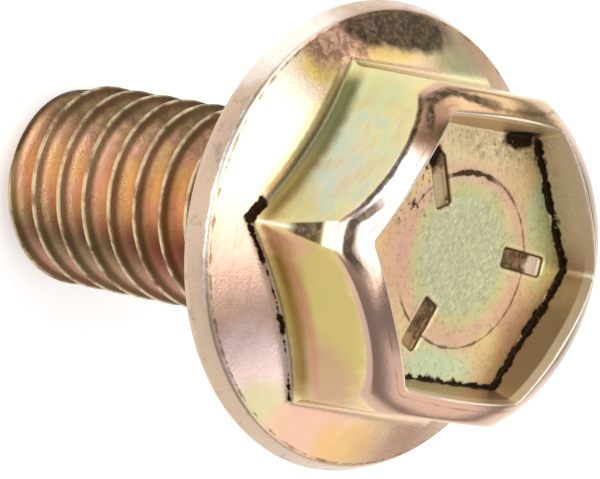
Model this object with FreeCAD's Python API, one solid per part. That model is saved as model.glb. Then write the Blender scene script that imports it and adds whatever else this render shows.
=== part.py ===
"""Hex flange screw with an indented head, standing on its point.

One cold-headed and thread-rolled piece. +Z runs up the axis from the point to the head, and the
origin is the centre of the flat point. Two corners of the hex lie on the Y axis. Millimetres.
"""
import FreeCAD, Part
import math
import os

os.makedirs("parts", exist_ok=True)

# Thread
thread_diameter = 7.76
threads_per_inch = 18
crest_flat_share = 1 / 8
thread_angle = 60.0
thread_depth_share = 0.6134
# Height of the first crest above the point, on the side of the +Y corner
first_crest_height = 0.22
# The ridge reaches this far into the core that it stands on
ridge_sink = 0.15

# Shank
length_under_head = 15.875
point_diameter = 5.80
point_chamfer_angle = 45.0
neck_diameter = 7.00
neck_length = 1.60
# The thread ends in a small groove below the neck, this much deeper than the thread
relief_extra_depth = 0.05
neck_fillet = 0.35

# Flange
flange_diameter = 17.50
flange_rim_height = 1.10
flange_rim_draft = 0.27
flange_cone_angle = 30.0
flange_edge_round = 0.35
flange_crease_round = 0.15

# Hex, widest where its sides would meet the bearing face
across_flats = 12.55
head_height = 7.20
hex_draft_angle = 2.0
hex_edge_round = 0.25
hex_root_fillet = 0.40
# The corners lean in towards the top, as an open heading die leaves them
corner_lean_angle = 7.5
corner_lean_start = 2.60
# The leaning cut starts this far outside the corners
lean_clearance = 0.01
# The crown falls this far from the rim of the indent to the shoulder at the corners
crown_drop = 1.45
crown_bulge = 0.20

# Indented top
recess_across_corners = 11.90
recess_depth = 1.60
recess_draft_angle = 17.0
recess_corner_round = 0.35
# Flat land between the indent and the crown at the middle of each side
rim_land = 0.05

# Three radial grade marks pressed into the floor of the indent
mark_count = 3
mark_inner_radius = 2.10
mark_outer_radius = 4.30
mark_width = 0.72
mark_depth = 0.18
mark_floor_width = 0.30

# A tool solid reaches this far past what it cuts
cut_margin = 1.0

pitch = 25.4 / threads_per_inch
thread_depth = thread_depth_share * pitch
crest_radius = thread_diameter / 2
root_radius = crest_radius - thread_depth
point_radius = point_diameter / 2
relief_radius = root_radius - relief_extra_depth
bearing_height = length_under_head
neck_foot = bearing_height - neck_length
relief_height = neck_foot - (neck_diameter / 2 - relief_radius)
top_height = bearing_height + head_height
across_corners = across_flats / math.cos(math.radians(30))
recess_apothem = recess_across_corners / 2 * math.cos(math.radians(30))
z_axis = FreeCAD.Vector(0, 0, 1)
axis_foot = FreeCAD.Vector(0, 0, 0)


def at(radius, height):
    """A point of a section drawn in the XZ plane."""
    return FreeCAD.Vector(radius, 0, height)


def revolved(points):
    """Solid of revolution about the axis from a closed outline in the XZ plane."""
    outline = Part.makePolygon(points + [points[0]])
    return Part.Face(outline).revolve(axis_foot, z_axis, 360)


def hexagon(across_corners, height):
    """Closed hexagon wire with two corners on the Y axis."""
    corners = []
    for turn in range(7):
        angle = math.radians(90 + 60 * turn)
        x = across_corners / 2 * math.cos(angle)
        y = across_corners / 2 * math.sin(angle)
        corners.append(FreeCAD.Vector(x, y, height))
    return Part.makePolygon(corners)


def is_circle_at(edge, radius, height):
    """True for a full circle about the axis with this radius and height."""
    curve = edge.Curve
    if not isinstance(curve, Part.Circle):
        return False
    on_height = abs(curve.Center.z - height) < 1e-4
    return on_height and abs(curve.Radius - radius) < 1e-4


def rising_edges(solid):
    """The edges of a prism or pyramid that run from its bottom to its top."""
    return [e for e in solid.Edges if abs(e.Vertexes[0].Z - e.Vertexes[1].Z) > 1e-6]


def make_thread():
    """Threaded stretch: a helical ridge on a core, chamfered at the point and below the neck."""
    slope = math.tan(math.radians(thread_angle / 2))
    base_radius = root_radius - ridge_sink
    crest_half = pitch * crest_flat_share / 2
    base_half = crest_half + (crest_radius - base_radius) * slope
    foot = first_crest_height - 2 * pitch
    ridge_height = (math.ceil((neck_foot - foot) / pitch) + 1) * pitch
    section = Part.makePolygon([
        at(base_radius, -base_half),
        at(crest_radius, -crest_half),
        at(crest_radius, crest_half),
        at(base_radius, base_half),
        at(base_radius, -base_half),
    ])
    helix = Part.makeHelix(pitch, ridge_height, crest_radius)
    ridge = Part.Wire(helix.Edges).makePipeShell([section], True, True)
    ridge.rotate(axis_foot, z_axis, 90)
    ridge.translate(FreeCAD.Vector(0, 0, foot))
    core_foot = FreeCAD.Vector(0, 0, foot - pitch)
    core = Part.makeCylinder(root_radius, ridge_height + 2 * pitch, core_foot)
    outer_radius = crest_radius + cut_margin
    chamfer_rise = math.tan(math.radians(point_chamfer_angle))
    envelope = revolved([
        at(0, 0),
        at(point_radius, 0),
        at(outer_radius, (outer_radius - point_radius) * chamfer_rise),
        at(outer_radius, relief_height - (outer_radius - relief_radius)),
        at(relief_radius, relief_height),
        at(0, relief_height),
    ])
    return core.fuse(ridge).common(envelope)


def make_neck():
    """Plain neck under the head, with a spigot that runs down inside the thread's core."""
    spigot_radius = relief_radius / 2
    neck_radius = neck_diameter / 2
    return revolved([
        at(0, relief_height - pitch),
        at(spigot_radius, relief_height - pitch),
        at(spigot_radius, neck_foot - (neck_radius - spigot_radius)),
        at(neck_radius, neck_foot),
        at(neck_radius, bearing_height - neck_fillet),
        at(neck_radius + neck_fillet, bearing_height),
        at(neck_radius + neck_fillet, bearing_height + flange_rim_height / 2),
        at(0, bearing_height + flange_rim_height / 2),
    ])


def make_flange():
    """Cone flange: flat bearing face, round lower edge, leaning rim and a slightly round crease."""
    rim_radius = flange_diameter / 2
    crease_radius = rim_radius - flange_rim_draft
    crease_height = bearing_height + flange_rim_height
    apex_height = crease_height + crease_radius * math.tan(math.radians(flange_cone_angle))
    edge_foot = rim_radius - flange_edge_round
    bulge_height = bearing_height + flange_edge_round
    on_arc = flange_edge_round * math.sin(math.radians(45))
    edge_arc = Part.Arc(
        at(edge_foot, bearing_height),
        at(edge_foot + on_arc, bulge_height - on_arc),
        at(rim_radius, bulge_height),
    )
    section = Part.Wire([
        Part.LineSegment(at(0, bearing_height), at(edge_foot, bearing_height)).toShape(),
        edge_arc.toShape(),
        Part.LineSegment(at(rim_radius, bulge_height), at(crease_radius, crease_height)).toShape(),
        Part.LineSegment(at(crease_radius, crease_height), at(0, apex_height)).toShape(),
        Part.LineSegment(at(0, apex_height), at(0, bearing_height)).toShape(),
    ])
    flange = Part.Face(section).revolve(axis_foot, z_axis, 360)
    crease = [e for e in flange.Edges if is_circle_at(e, crease_radius, crease_height)]
    return flange.makeFillet(flange_crease_round, crease)


def make_hex():
    """Hex block with rounded corners, whose sides draw in slightly towards the top."""
    taper = math.tan(math.radians(hex_draft_angle)) * 2 / math.cos(math.radians(30))
    foot_above = flange_rim_height / 2
    block = Part.makeLoft([
        hexagon(across_corners - foot_above * taper, bearing_height + foot_above),
        hexagon(across_corners - head_height * taper, top_height),
    ], True, True)
    return block.makeFillet(hex_edge_round, rising_edges(block))


def make_crown_ring():
    """What the heading die leaves off the hex: the crown, and the lean of the corners below it."""
    lean = math.tan(math.radians(corner_lean_angle))
    lean_foot = bearing_height + corner_lean_start
    shoulder_height = top_height - crown_drop
    to_corners = 1 / math.cos(math.radians(30))
    lean_foot_taper = math.tan(math.radians(hex_draft_angle)) * to_corners * corner_lean_start
    corner_radius = across_corners / 2 - hex_edge_round * (to_corners - 1) - lean_foot_taper
    shoulder_radius = corner_radius - (shoulder_height - lean_foot) * lean
    rim_radius = recess_apothem + rim_land
    outer_radius = corner_radius + cut_margin
    chord_x = shoulder_radius - rim_radius
    chord_length = math.hypot(chord_x, crown_drop)
    middle_radius = (shoulder_radius + rim_radius) / 2 + crown_bulge * crown_drop / chord_length
    middle_height = top_height - crown_drop / 2 + crown_bulge * chord_x / chord_length
    crown = Part.Arc(
        at(shoulder_radius, shoulder_height),
        at(middle_radius, middle_height),
        at(rim_radius, top_height),
    )
    corners = [
        at(rim_radius, top_height),
        at(rim_radius, top_height + cut_margin),
        at(outer_radius, top_height + cut_margin),
        at(outer_radius, lean_foot),
        at(corner_radius + lean_clearance, lean_foot),
        at(shoulder_radius, shoulder_height),
    ]
    sides = [Part.LineSegment(a, b).toShape() for a, b in zip(corners, corners[1:])]
    outline = Part.Wire([crown.toShape()] + sides)
    return Part.Face(outline).revolve(axis_foot, z_axis, 360)


def make_recess():
    """The hexagonal indent in the top, narrower at its floor."""
    floor_height = top_height - recess_depth
    taper = math.tan(math.radians(recess_draft_angle))
    floor_apothem = recess_apothem - recess_depth * taper
    mouth_apothem = recess_apothem + cut_margin * taper
    to_corners = 2 / math.cos(math.radians(30))
    tool = Part.makeLoft([
        hexagon(floor_apothem * to_corners, floor_height),
        hexagon(mouth_apothem * to_corners, top_height + cut_margin),
    ], True, True)
    return tool.makeFillet(recess_corner_round, rising_edges(tool))


def make_mark():
    """One radial mark, a round-ended trough along +Y with sloping sides."""
    floor_height = top_height - recess_depth

    def slot(width, height):
        half = width / 2
        inner = mark_inner_radius + half
        outer = mark_outer_radius - half
        left_side = Part.LineSegment(FreeCAD.Vector(-half, outer, height),
                                     FreeCAD.Vector(-half, inner, height))
        inner_end = Part.Arc(FreeCAD.Vector(-half, inner, height),
                             FreeCAD.Vector(0, inner - half, height),
                             FreeCAD.Vector(half, inner, height))
        right_side = Part.LineSegment(FreeCAD.Vector(half, inner, height),
                                      FreeCAD.Vector(half, outer, height))
        outer_end = Part.Arc(FreeCAD.Vector(half, outer, height),
                             FreeCAD.Vector(0, outer + half, height),
                             FreeCAD.Vector(-half, outer, height))
        sides = [left_side, inner_end, right_side, outer_end]
        return Part.Wire([side.toShape() for side in sides])

    flare = (mark_width - mark_floor_width) / 2 / mark_depth
    mouth_width = mark_width + 2 * flare * mark_depth
    return Part.makeLoft([
        slot(mark_floor_width, floor_height - mark_depth),
        slot(mouth_width, floor_height + mark_depth),
    ], True, True)


def root_edges(head):
    """The edges where the hex stands on the cone of the flange."""
    lowest = bearing_height + flange_rim_height
    cone_slope = math.tan(math.radians(flange_cone_angle))
    highest = lowest + (flange_diameter / 2 - recess_apothem) * cone_slope
    edges = []
    for edge in head.Edges:
        box = edge.BoundBox
        reach = math.hypot(box.Center.x, box.Center.y)
        level = box.ZLength < flange_rim_height
        inside = lowest < box.ZMin and box.ZMax < highest
        if level and inside and reach > recess_apothem:
            edges.append(edge)
    return edges


def make_bolt():
    """The whole screw as one solid."""
    shank = make_thread().fuse(make_neck())
    head = make_flange().fuse(make_hex())
    head = head.makeFillet(hex_root_fillet, root_edges(head)).cut(make_crown_ring())
    bolt = head.fuse(shank)
    bolt = bolt.cut(make_recess())
    for turn in range(mark_count):
        mark = make_mark()
        mark.rotate(axis_foot, z_axis, turn * 360 / mark_count)
        bolt = bolt.cut(mark)
    return bolt


bolt = make_bolt()
bolt.exportStep("parts/bolt.step")
print("bolt:", bolt.ShapeType, "solids", len(bolt.Solids), "valid", bolt.isValid(),
      "faces", len(bolt.Faces), "volume", round(bolt.Volume, 2))
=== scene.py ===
"""Looks of the hex flange screw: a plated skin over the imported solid, camera, floor and light."""

import math

import bpy
import numpy as np
from mathutils import Matrix, Vector


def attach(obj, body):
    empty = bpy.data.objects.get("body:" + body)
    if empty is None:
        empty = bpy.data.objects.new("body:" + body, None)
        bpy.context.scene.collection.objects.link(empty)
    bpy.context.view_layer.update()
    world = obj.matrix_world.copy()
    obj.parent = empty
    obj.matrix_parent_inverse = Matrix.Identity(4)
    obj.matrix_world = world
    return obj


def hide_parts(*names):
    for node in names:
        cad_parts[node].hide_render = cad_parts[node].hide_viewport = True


# Sizes in millimetres, as in the part's own drawing
MM = 0.001
PITCH = 25.4 / 18
CREST_RADIUS = 3.88
ROOT_RADIUS = CREST_RADIUS - 0.6134 * PITCH
FLANK_SLOPE = math.tan(math.radians(30))
CREST_FLAT = 0.14
CREST_ROUND = 0.03
ROOT_ROUND = 0.12
FIRST_CREST = 0.22
POINT_RADIUS = 2.9
POINT_ROUND = 0.12
NECK_RADIUS = 3.5
RUNOUT_START = 13.00
RUNOUT_END = 14.5
THREAD_TOP = 14.8
BEARING = 15.875
FLANGE_RADIUS = 8.75
LOWER_EDGE = 0.35
CREASE_RADIUS = 8.48
CREASE_HEIGHT = BEARING + 1.1
CONE_SLOPE = math.tan(math.radians(30))
TOP = 23.075
FOOT_APOTHEM = 6.275
SIDE_TAPER = math.tan(math.radians(2.0))
HEX_ROUND = 0.25
SHOULDER = TOP - 1.45
SHOULDER_RADIUS = 6.687
LEAN_TAPER = math.tan(math.radians(7.5))
LEAN_CLEARANCE = 0.015
LEAN_BLEND = 0.06
RIM_RADIUS = 5.203
CROWN_MIDDLE_RADIUS = 6.085
CROWN_MIDDLE = TOP - 0.582
INDENT_APOTHEM = 5.153
INDENT_FLOOR = TOP - 1.6
INDENT_TAPER = math.tan(math.radians(17))
INDENT_ROUND = 0.35
FLOOR_APOTHEM = INDENT_APOTHEM - (TOP - INDENT_FLOOR) * INDENT_TAPER

# Grade marks: middle, direction, half length, half width, depth
GRADE_MARKS = [
    (-0.08, 3.2, 85.1, 1.06, 0.36, 0.18),
    (2.69, -1.55, -27.0, 0.98, 0.36, 0.2),
    (-2.54, -1.7, 202.8, 0.98, 0.36, 0.19),
]
MARK_WALL = 0.11
MARK_LIP = 0.018
MARK_LIP_REACH = 0.09
MARK_CORNER = 0.12

# Columns of the skin round each side of the hex, how strongly they crowd near its corners, how many
# make one column of the thread, and its turns
SIDE_COLUMNS = 56
CROWDING = 0.72
THREAD_COLUMN_SKIP = 4
THREAD_TURNS = (-4, 12)

# Steps round a rounded corner, and rounds for finding where two surfaces meet
CORNER_STEPS = 6
MEETING_ROUNDS = 12

# Largest share of a run that a rounded corner takes
LONGEST_TRIM = 0.45

# Rings and rounded ends of the head's runs: floor, wall, crown, side, cone, rim, edge, foot, neck
HEAD_STEPS = [52, 7, 10, 18, 10, 2, 5, 5, 2]
HEAD_ROUNDS = [0, 0.12, 0.1, 0.16, 0.5, 0.12, 0.05, 0, 0.35, 0]

# How far out the rings of the indent's floor are, by their share, closest at the grade marks
FLOOR_SHARES = [0, 0.1, 0.9, 1]
FLOOR_SPREAD = [0, 0.37, 0.88, 1]

# How near the thread's rows come to the point's middle and to the neck before they join them
TIP_SPAN = 0.05
NECK_SPAN = 0.03

# Lean of a corner at which its mask is full
LEAN_FULL = 0.08

# Distance kept on vertices that no edge is near
FAR_AWAY = 50.0

# Camera in millimetres, with its roll in degrees
CAMERA_PLACE = (-4.313, -182.933, 197.6)
CAMERA_AIM = (0.547, -0.015, 13.13)
CAMERA_ROLL = 100.89
CAMERA_LENS = 420

# Soft boxes in millimetres: name, place, width, height, brightness of the face, where 1 is white
SOFT_BOXES = [
    ("box overhead", (-80, -125, 300), 400, 300, 1.8),
    ("box to the left", (-290, 75, 150), 430, 160, 1.3),
    ("box to the right", (215, 130, 190), 300, 260, 0.9),
    ("box behind", (-20, 240, 230), 220, 150, 1.1),
    ("box in front", (0, -300, 70), 170, 80, 2.2),
]
SOFT_BOX_AIM = (0, 0, 18)

# Colour and brightness of the room
ROOM_TINT = (1.0, 0.98, 0.96, 1)
ROOM_LIGHT = 0.4

# Floor: half its side and how far it lies under the point, in millimetres, and its own glow
FLOOR_HALF = 600
FLOOR_DROP = 0.02
FLOOR_GLOW = 0.45

# How far the roughness drifts either way, and the depth of the plating's grain in metres
ROUGHNESS_SWING = 0.08
GRAIN_DEPTH = 0.00004

# Share of fine cloud in the chromate film, and its colours as it gets thicker
FINE_FILM = 0.35
FILM_COLOURS = [
    (0.0, "c3d2c4"), (0.17, "c9d0a2"), (0.34, "dfd292"), (0.5, "e3bf84"), (0.66, "dcae92"),
    (0.82, "cfa59a"), (1.0, "a9957c"),
]

# Tones that the finishes lay over the film; some of them are painted highlights and painted shade, as
# noted where they are laid
TONES = dict(
    flange_veil="ead3bd", blush_light="d6a890", blush_dark="8f6655", stain_light="75634a",
    stain_dark="33291d", flange_streak="e0a890", ridge_highlight="d8bf80", green_fillet_shade="776a3a",
    green_fillet_shade_by_corner="9c7e46", rim="c6ad97", rim_speck="94806a", pale_rim="f8eee4",
    worn_and_lit_crease="fffaf2", crease_line="80664a", root_dirt="2c1c12", hex_veil="b9b18c",
    cool_cloud="aebcac", warm_cloud="c4ae84", olive_root_shadow="5c5f36", olive_root_shadow_by_corner="84713e",
    rosy_band="b47c68", brown_band="82672e", root_line="cfc9a0", corner_edge_highlight="f0e8d2",
    crown_veil="bc9e8a", crown_mottle_light="80694f", crown_mottle_dark="352a1e",
    corner_glint="fff4e6", far_streak="735436", crown_scratch="9c6c50", rim_highlight="f6e4d0",
    indent_veil="e6cda0", pink_ring="d8ab96", disc="b4ba96", disc_flake="dcdcb0",
    disc_fringe="c9c888", scribed_ring="4a3826", brown_mottle="8c6f52", pits="6d573e",
    dark_pits="44301f", wall_veil="b4967a", wall_top_highlight="f2e6d8", wall_foot_dark="5c442c",
    mark_light="937557", mark_dark="382716", mark_wall="6b5036", mark_lip_highlight="f0e0bc",
    dark_floor_edge="2c1f14", glint_specks="c4b08e", thread_veil="a5805a", rosy_highlight="f8c8b0",
    golden_highlight="f8d898", thread_root="a89c58", red_painted_shade="583824", olive_painted_shade="4e4428",
    worn_and_lit_crest="dccaa0", thread_speck="4e3a2a",
)


def turn_angles():
    """Angles once round the axis, starting at a corner of the hex and crowding near each corner."""
    share = np.arange(SIDE_COLUMNS) / SIDE_COLUMNS
    eased = share - CROWDING * np.sin(2 * math.pi * share) / (2 * math.pi)
    sides = [math.radians(30 + 60 * side) + eased * math.radians(60) for side in range(6)]
    return np.concatenate(sides)


def hex_reach(angles, apothem, corner_round):
    """Distance from the axis to a hexagon with rounded corners, two of them on the Y axis."""
    half_side = math.radians(30)
    from_face = (angles + half_side) % (2 * half_side) - half_side
    flat = apothem / np.cos(from_face)
    from_corner = half_side - np.abs(from_face)
    centre = (apothem - corner_round) / math.cos(half_side)
    inside = np.maximum(corner_round ** 2 - (centre * np.sin(from_corner)) ** 2, 0)
    rounded = centre * np.cos(from_corner) + np.sqrt(inside)
    tangent = np.arctan((apothem - corner_round) * math.tan(half_side) / apothem)
    return np.where(np.abs(from_face) < tangent, flat, rounded)


def crown_height(radius):
    """Height of the crown's arc at a distance from the axis, level inside the rim."""
    rows = 2 * np.array([[CROWN_MIDDLE_RADIUS - RIM_RADIUS, CROWN_MIDDLE - TOP],
                         [SHOULDER_RADIUS - RIM_RADIUS, SHOULDER - TOP]])
    rim = RIM_RADIUS ** 2 + TOP ** 2
    sums = np.array([CROWN_MIDDLE_RADIUS ** 2 + CROWN_MIDDLE ** 2 - rim,
                     SHOULDER_RADIUS ** 2 + SHOULDER ** 2 - rim])
    centre_radius, centre_height = np.linalg.solve(rows, sums)
    arc = math.hypot(RIM_RADIUS - centre_radius, TOP - centre_height)
    height = centre_height + np.sqrt(np.maximum(arc ** 2 - (radius - centre_radius) ** 2, 0))
    return np.where(radius < RIM_RADIUS, TOP, np.minimum(height, TOP))


def soft_min(a, b, blend):
    """The smaller of two lengths, rounded where they cross."""
    mix = np.clip(0.5 + 0.5 * (b - a) / blend, 0, 1)
    return b * (1 - mix) + a * mix - blend * mix * (1 - mix)


def side_reach(angles, height):
    """Distance from the axis to the side of the hex, whose upper corners lean in."""
    drafted = hex_reach(angles, FOOT_APOTHEM - (height - BEARING) * SIDE_TAPER, HEX_ROUND)
    leaning = SHOULDER_RADIUS + LEAN_CLEARANCE + (SHOULDER - height) * LEAN_TAPER
    return soft_min(drafted, leaning, LEAN_BLEND)


def cone_height(radius):
    """Height of the flange's cone at a distance from the axis."""
    return CREASE_HEIGHT + (CREASE_RADIUS - radius) * CONE_SLOPE


def straight(angles, start, end):
    """A straight run of the outline between two (radius, height) places."""
    start = np.stack([np.broadcast_to(value, angles.shape) for value in start], axis=-1)
    end = np.stack([np.broadcast_to(value, angles.shape) for value in end], axis=-1)
    return lambda share: start + (end - start) * np.reshape(share, (-1, 1))


def rounded_outline(runs, steps, rounds):
    """Rings of (radius, height) along runs with rounded corners, and each corner's middle ring."""
    nought = np.zeros(len(runs[0](np.zeros(1))))
    trims = []
    for number, run in enumerate(runs):
        length = np.linalg.norm(run(nought + 1) - run(nought), axis=1)
        before = np.minimum(rounds[number] / length, LONGEST_TRIM)
        after = np.minimum(rounds[number + 1] / length, LONGEST_TRIM)
        trims.append((before, 1 - after))
    rings = []
    middles = []
    for number, run in enumerate(runs):
        start, stop = trims[number]
        first = 1 if number and rounds[number] == 0 else 0
        for step in range(first, steps[number] + 1):
            rings.append(run(start + (stop - start) * step / steps[number]))
        if number + 1 == len(runs):
            break
        if rounds[number + 1] == 0:
            middles.append(len(rings) - 1)
            continue
        middles.append(len(rings) + CORNER_STEPS // 2 - 1)
        here = run(stop)
        corner = run(nought + 1)
        there = runs[number + 1](trims[number + 1][0])
        for step in range(1, CORNER_STEPS):
            u = step / CORNER_STEPS
            rings.append(here * (1 - u) ** 2 + corner * 2 * u * (1 - u) + there * u ** 2)
    return np.array(rings), middles


def head_rings(angles):
    """Rings from the middle of the indent out over the crown, side and flange, and in to the neck."""
    rim_height = np.full(angles.shape, TOP)
    for _ in range(MEETING_ROUNDS):
        rim_apothem = FLOOR_APOTHEM + (rim_height - INDENT_FLOOR) * INDENT_TAPER
        rim_reach = hex_reach(angles, rim_apothem, INDENT_ROUND)
        rim_height = crown_height(rim_reach)
    edge_height = np.full(angles.shape, SHOULDER)
    for _ in range(MEETING_ROUNDS):
        edge_reach = side_reach(angles, edge_height)
        edge_height = crown_height(edge_reach)
    floor_reach = hex_reach(angles, FLOOR_APOTHEM, INDENT_ROUND)
    root_reach = side_reach(angles, edge_height)
    for _ in range(MEETING_ROUNDS):
        root_height = cone_height(root_reach)
        root_reach = side_reach(angles, root_height)

    def floor(share):
        spread = np.interp(share, FLOOR_SHARES, FLOOR_SPREAD)
        return np.stack([floor_reach * spread, np.full(angles.shape, INDENT_FLOOR)], axis=-1)

    def crown(share):
        radius = rim_reach + (edge_reach - rim_reach) * share
        return np.stack([radius, crown_height(radius)], axis=-1)

    def side(share):
        level = edge_height + (root_height - edge_height) * share
        return np.stack([side_reach(angles, level), level], axis=-1)

    def lower_edge(share):
        turn = np.asarray(share) * math.pi / 2 + np.zeros(angles.shape)
        radius = FLANGE_RADIUS - LOWER_EDGE + LOWER_EDGE * np.cos(turn)
        return np.stack([radius, BEARING + LOWER_EDGE - LOWER_EDGE * np.sin(turn)], axis=-1)

    crease = (CREASE_RADIUS, CREASE_HEIGHT)
    bulge = (FLANGE_RADIUS, BEARING + LOWER_EDGE)
    foot = (FLANGE_RADIUS - LOWER_EDGE, BEARING)
    runs = [
        floor,
        straight(angles, (floor_reach, INDENT_FLOOR), (rim_reach, rim_height)),
        crown,
        side,
        straight(angles, (root_reach, root_height), crease),
        straight(angles, crease, bulge),
        lower_edge,
        straight(angles, foot, (NECK_RADIUS, BEARING)),
        straight(angles, (NECK_RADIUS, BEARING), (NECK_RADIUS, THREAD_TOP)),
    ]
    return rounded_outline(runs, HEAD_STEPS, HEAD_ROUNDS)


def mark_depth(x, y):
    """How deep the floor of the indent is pressed at a place by the grade marks."""
    depth = np.zeros(x.shape)
    for middle_x, middle_y, direction, half_length, half_width, deepest in GRADE_MARKS:
        turn = math.radians(direction)
        along = np.abs((x - middle_x) * math.cos(turn) + (y - middle_y) * math.sin(turn))
        across = np.abs((y - middle_y) * math.cos(turn) - (x - middle_x) * math.sin(turn))
        out = np.hypot(np.maximum(along - half_length + MARK_CORNER, 0),
                       np.maximum(across - half_width + MARK_CORNER, 0))
        inner = np.minimum(np.maximum(along - half_length, across - half_width) + MARK_CORNER, 0)
        edge = out + inner - MARK_CORNER
        wall = np.clip(0.5 - edge / MARK_WALL, 0, 1)
        wall = wall * wall * (3 - 2 * wall)
        lip = MARK_LIP * np.exp(-((edge - MARK_WALL) / MARK_LIP_REACH) ** 2)
        depth = depth + deepest * wall - lip
    return depth


def thread_profile():
    """Section points over one pitch, from the middle of a crest to the middle of the next."""
    one = np.zeros(1)
    flank = (CREST_RADIUS - ROOT_RADIUS) * FLANK_SLOPE
    crest_end = CREST_FLAT / 2
    root_start = crest_end + flank
    runs = [
        straight(one, (CREST_RADIUS, 0), (CREST_RADIUS, crest_end)),
        straight(one, (CREST_RADIUS, crest_end), (ROOT_RADIUS, root_start)),
        straight(one, (ROOT_RADIUS, root_start), (ROOT_RADIUS, PITCH - root_start)),
        straight(one, (ROOT_RADIUS, PITCH - root_start), (CREST_RADIUS, PITCH - crest_end)),
        straight(one, (CREST_RADIUS, PITCH - crest_end), (CREST_RADIUS, PITCH)),
    ]
    outline, _ = rounded_outline(
        runs, [1, 3, 1, 3, 1], [0, CREST_ROUND, ROOT_ROUND, ROOT_ROUND, CREST_ROUND, 0])
    return outline[:-1, 0]


def thread_rows(angles):
    """Radius and height of rows that climb with the thread, from inside the point past the neck."""
    profile = thread_profile()
    turns = np.arange(*THREAD_TURNS)
    level = (FIRST_CREST + turns[:, None] * PITCH + profile[None, :, 1]).ravel()
    reach = np.tile(profile[:, 0], len(turns))
    height = level[:, None] + PITCH * (angles - math.pi / 2)[None, :] / (2 * math.pi)
    fade = np.clip((height - RUNOUT_START) / (RUNOUT_END - RUNOUT_START), 0, 1)
    fade = fade * fade * (3 - 2 * fade)
    radius = reach[:, None] * (1 - fade) + NECK_RADIUS * fade
    radius = np.maximum(soft_min(radius, POINT_RADIUS + height, POINT_ROUND), 0)
    return radius, height, len(profile)


def bolt_skin():
    """Vertices, faces, the finish of each face and distances kept on the vertices."""
    angles = turn_angles()
    fine = len(angles)
    rings, middles = head_rings(angles)
    x = rings[:, :, 0] * np.cos(angles)
    y = rings[:, :, 0] * np.sin(angles)
    z = rings[:, :, 1].copy()
    on_floor = slice(0, middles[0] - CORNER_STEPS // 2 + 1)
    z[on_floor] -= mark_depth(x[on_floor], y[on_floor])
    steps = np.linalg.norm(np.diff(rings, axis=0), axis=2)
    along = np.concatenate([np.zeros((1, fine)), np.cumsum(steps, axis=0)])
    head = np.arange(rings.shape[0] * fine).reshape(rings.shape[0], fine)
    head[0, :] = 0
    zones = [middles[1], middles[3], middles[7] - CORNER_STEPS // 2, rings.shape[0]]

    faces = []
    finishes = []
    for number in range(rings.shape[0] - 1):
        finish = next(zone for zone, end in enumerate(zones) if number < end)
        for column in range(fine):
            after = (column + 1) % fine
            faces.append([head[number, column], head[number + 1, column],
                          head[number + 1, after], head[number, after]])
            finishes.append(finish)

    columns = angles[::THREAD_COLUMN_SKIP]
    radius, height, rows_a_turn = thread_rows(columns)
    rows, coarse = radius.shape
    bent = (height + POINT_ROUND) ** 2 / (4 * POINT_ROUND)
    level = np.where(height > POINT_ROUND, height, np.where(height < -POINT_ROUND, 0, bent))
    tip = head.size
    thread = tip + 1 + np.arange(rows * coarse).reshape(rows, coarse)
    neck = head[-1, ::THREAD_COLUMN_SKIP]
    thread = np.where(height <= -POINT_RADIUS + TIP_SPAN, tip, thread)
    thread = np.where(height >= THREAD_TOP - NECK_SPAN, neck[None, :], thread)
    for row in range(rows - 1):
        for column in range(coarse):
            after = (column + 1) % coarse
            lift = rows_a_turn if after == 0 else 0
            if row + 1 + lift >= rows:
                continue
            top = [thread[row + 1 + lift, after], thread[row + 1, column]]
            if top == [neck[after], neck[column]]:
                first = column * THREAD_COLUMN_SKIP
                top = [head[-1, (first + step) % fine] for step in range(THREAD_COLUMN_SKIP, -1, -1)]
            faces.append([thread[row, column], thread[row + lift, after]] + top)
            finishes.append(3)

    places = np.concatenate([
        np.stack([x, y, z], axis=-1).reshape(-1, 3),
        np.zeros((1, 3)),
        np.stack([radius * np.cos(columns), radius * np.sin(columns), level], axis=-1).reshape(-1, 3),
    ])
    far = np.full(1 + rows * coarse, FAR_AWAY)
    kept = {}
    edges = ["from_floor_edge", "from_rim", "from_crown_edge", "from_root", "from_crease"]
    for name, middle in zip(edges, middles):
        kept[name] = np.concatenate([(along - along[middle]).ravel(), far])
    rise = (radius - ROOT_RADIUS) / (CREST_RADIUS - ROOT_RADIUS)
    kept["thread_rise"] = np.concatenate([np.full(head.size + 1, 0.5), rise.ravel()])
    drafted = hex_reach(angles, FOOT_APOTHEM - (rings[:, :, 1] - BEARING) * SIDE_TAPER, HEX_ROUND)
    leaning = SHOULDER_RADIUS + (SHOULDER - rings[:, :, 1]) * LEAN_TAPER
    lean = np.clip((drafted - leaning) / LEAN_FULL, 0, 1)
    kept["corner_lean"] = np.concatenate([lean.ravel(), np.zeros(1 + rows * coarse)])
    return places, faces, finishes, kept


def clean_faces(faces, finishes):
    """Drops repeated corners from faces, and faces with fewer than three corners left."""
    sound = []
    kept_finishes = []
    for face, finish in zip(faces, finishes):
        corners = [corner for place, corner in enumerate(face) if corner != face[place - 1]]
        if len(set(corners)) > 2:
            sound.append(corners)
            kept_finishes.append(finish)
    return sound, kept_finishes


def new_object(name, data):
    """A new object in the scene."""
    made = bpy.data.objects.new(name, data)
    bpy.context.scene.collection.objects.link(made)
    return made


def make_bolt_skin(finish_materials):
    """The plated screw as one closed mesh object."""
    places, faces, finishes, kept = bolt_skin()
    faces, finishes = clean_faces(faces, finishes)
    used = np.zeros(len(places), dtype=bool)
    used[np.concatenate([np.array(face) for face in faces])] = True
    renumbered = np.cumsum(used) - 1
    mesh = bpy.data.meshes.new("screw_skin")
    mesh.from_pydata((places[used] * MM).tolist(), [], [renumbered[face].tolist() for face in faces])
    mesh.polygons.foreach_set("material_index", finishes)
    mesh.polygons.foreach_set("use_smooth", [True] * len(finishes))
    for name, values in kept.items():
        layer = mesh.attributes.new(name, "FLOAT", "POINT")
        layer.data.foreach_set("value", values[used].astype(np.float32))
    for material in finish_materials:
        mesh.materials.append(material)
    mesh.update()
    return new_object("screw_skin", mesh)


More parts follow.
